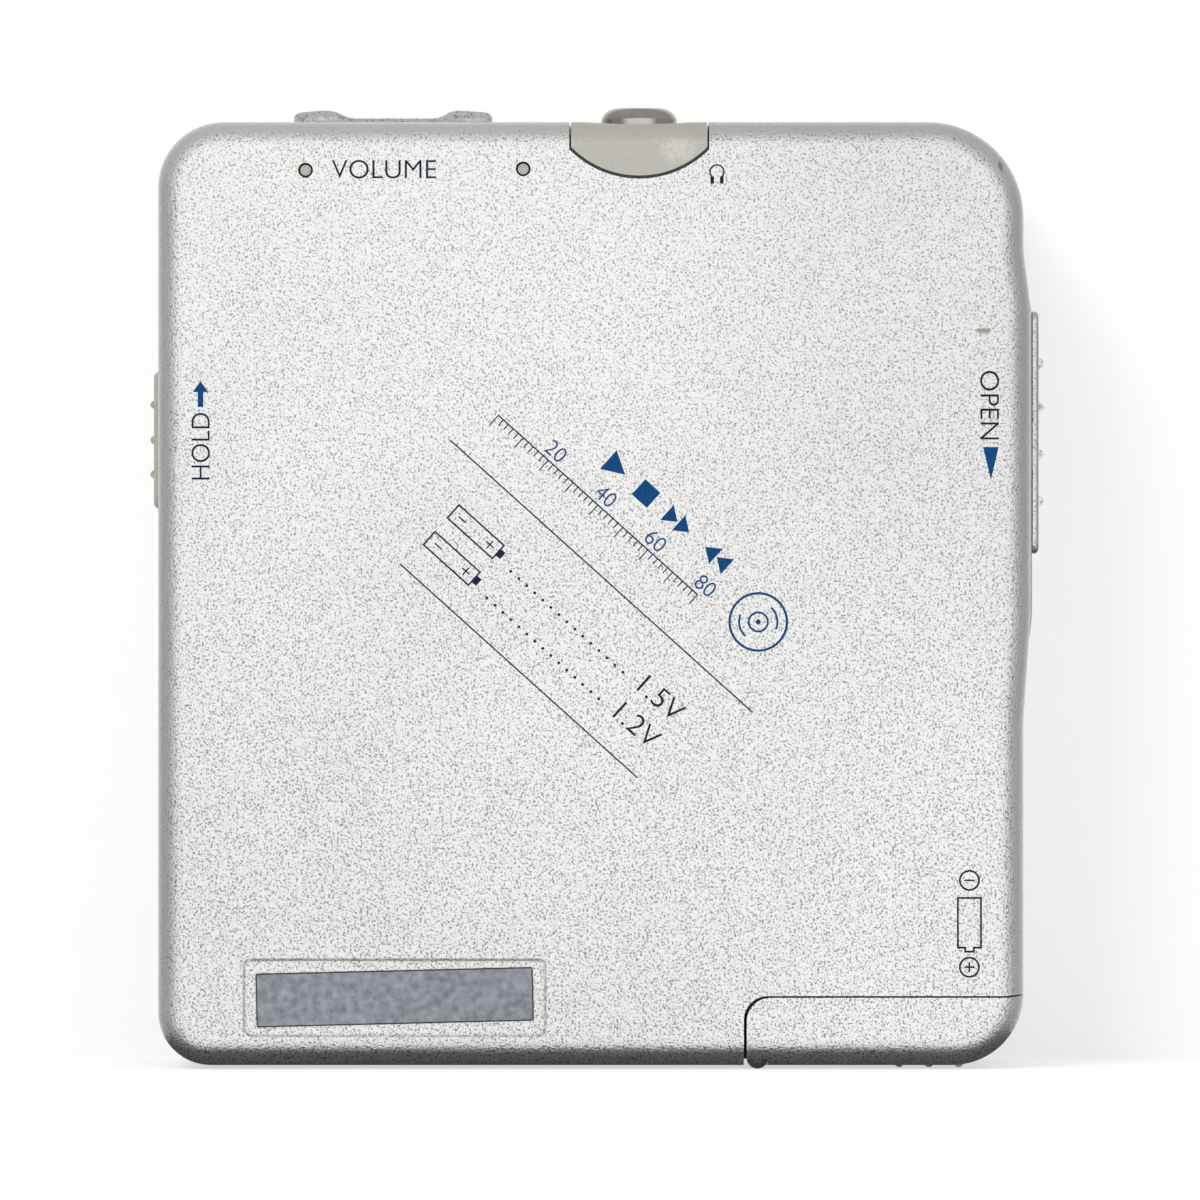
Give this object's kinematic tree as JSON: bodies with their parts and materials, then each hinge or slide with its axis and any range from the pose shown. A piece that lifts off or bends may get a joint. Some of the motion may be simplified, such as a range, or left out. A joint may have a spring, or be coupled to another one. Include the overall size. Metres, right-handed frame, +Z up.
{
  "type": "portable minidisc player",
  "caption": "Pocket disc player with a hinged lid over a tilting cartridge holder, a sliding latch, a hold switch, a volume rocker and a corner battery door.",
  "frame": {"origin": "under the middle of the bottom edge, on which the player stands", "axes": "+X to the right seen from the rear, +Y from the rear face to the lid, +Z up from the battery door edge to the headphone edge"},
  "size_m": [0.0756, 0.0245, 0.0806],
  "materials": {
    "silver_case": "fine blasted silver paint, satin",
    "band_plastic": "beige-grey moulded plastic, satin",
    "dark_plastic": "matt",
    "white_plastic": "satin",
    "steel_sheet": "rolled, satin",
    "bright_steel": "ground",
    "die_cast": "cast, matt",
    "silver_metal": "satin anodised",
    "chrome_ring": "polished",
    "lens_black": "gloss",
    "brass": "turned",
    "board_green": "solder mask, semi-gloss",
    "chip_black": "matt",
    "contact_nickel": "nickel plated",
    "screw_steel": "plated",
    "label_grey": "metallised film, satin"
  },
  "bodies": {
    "case": {"battery_tray": "dark_plastic", "board_parts": "chip_black", "case_screws": "screw_steel", "chassis": "steel_sheet", "chassis_posts": "brass", "chassis_screws": "screw_steel", "coil_contact": "contact_nickel", "door_pin": "bright_steel", "gear_post": "bright_steel", "guide_rods": "bright_steel", "hinge_pins": "bright_steel", "jack_cover": "band_plastic", "jack_ring": "chrome_ring", "jack_socket": "dark_plastic", "label_plate": "label_grey", "locating_pegs": "band_plastic", "main_board": "board_green", "middle_frame": "band_plastic", "rear_cover": "silver_case", "rocker_bracket": "steel_sheet", "sled_motor": "steel_sheet", "spindle_motor": "steel_sheet", "volume_switches": "dark_plastic"},
    "lid": {"lid_shell": "silver_case", "lid_arms": "steel_sheet", "key_membrane": "dark_plastic"},
    "play": {"play_key": "silver_metal"},
    "stop": {"stop_key": "silver_metal"},
    "skip_back": {"skip_back_key": "silver_metal"},
    "skip_forward": {"skip_forward_key": "silver_metal"},
    "holder": {"disc_holder": "steel_sheet"},
    "open_slider": {"open_knob": "silver_metal", "latch_hook": "steel_sheet"},
    "hold_slider": {"hold_knob": "band_plastic"},
    "rocker": {"volume_rocker": "silver_metal"},
    "door": {"battery_door": "silver_case", "door_contact": "contact_nickel"},
    "spindle": {"turntable": "dark_plastic", "spindle_shaft": "bright_steel"},
    "sled": {"pickup_sled": "die_cast", "objective_lens": "lens_black"},
    "drive_wheel": {"drive_gear": "white_plastic"},
    "pinion": {"motor_pinion": "brass"}
  },
  "joints": [
    {"name": "lid_hinge", "type": "hinge", "parent": "case", "child": "lid", "pos_m": [0, 0.0027, 0.0767], "axis": [1, 0, 0], "range_deg": [0, 38]},
    {"name": "holder_hinge", "type": "hinge", "parent": "case", "child": "holder", "pos_m": [0, 0.0027, 0.0767], "axis": [1, 0, 0], "range_deg": [0, 28.5]},
    {"name": "open_slide", "type": "slide", "parent": "case", "child": "open_slider", "axis": [0, 0, -1], "range_m": [0, 0.002], "stiffness_N_per_m": 400, "springref_m": -0.0005},
    {"name": "hold_slide", "type": "slide", "parent": "case", "child": "hold_slider", "axis": [0, 0, 1], "range_m": [0, 0.002]},
    {"name": "volume_tilt", "type": "hinge", "parent": "case", "child": "rocker", "pos_m": [-0.0166, -0.0056, 0.0761], "axis": [0, 1, 0], "range_deg": [-2, 2], "stiffness_Nm_per_rad": 0.2},
    {"name": "battery_door_hinge", "type": "hinge", "parent": "case", "child": "door", "pos_m": [0.01394, 0, 0.00095], "axis": [0, 1, 0], "range_deg": [0, 95]},
    {"name": "spindle_spin", "type": "hinge", "parent": "case", "child": "spindle", "pos_m": [0, 0, 0.0382], "axis": [0, 1, 0], "continuous": true},
    {"name": "drive_wheel_turn", "type": "hinge", "parent": "case", "child": "drive_wheel", "pos_m": [-0.014, 0, 0.0556], "axis": [0, 1, 0], "range_deg": [0, 346]},
    {"name": "sled_slide", "type": "slide", "parent": "case", "child": "sled", "axis": [-1, 0, 0], "range_m": [0, 0.0145]},
    {"name": "pinion_turn", "type": "hinge", "parent": "case", "child": "pinion", "pos_m": [-0.0048, 0, 0.0556], "axis": [0, 1, 0], "range_deg": [-1250, 10]},
    {"name": "play_press", "type": "slide", "parent": "lid", "child": "play", "axis": [0, -1, 0], "range_m": [0, 0.0003], "stiffness_N_per_m": 300, "springref_m": -0.0005},
    {"name": "stop_press", "type": "slide", "parent": "lid", "child": "stop", "axis": [0, -1, 0], "range_m": [0, 0.0003], "stiffness_N_per_m": 300, "springref_m": -0.0005},
    {"name": "skip_back_press", "type": "slide", "parent": "lid", "child": "skip_back", "axis": [0, -1, 0], "range_m": [0, 0.0003], "stiffness_N_per_m": 300, "springref_m": -0.0005},
    {"name": "skip_forward_press", "type": "slide", "parent": "lid", "child": "skip_forward", "axis": [0, -1, 0], "range_m": [0, 0.0003], "stiffness_N_per_m": 300, "springref_m": -0.0005}
  ],
  "couplings": [
    {"joint": "holder_hinge", "follows": "lid_hinge", "ratio": 0.75},
    {"joint": "sled_slide", "follows": "drive_wheel_turn", "m_per_rad": 0.0024},
    {"joint": "pinion_turn", "follows": "drive_wheel_turn", "ratio": -3.6}
  ]
}
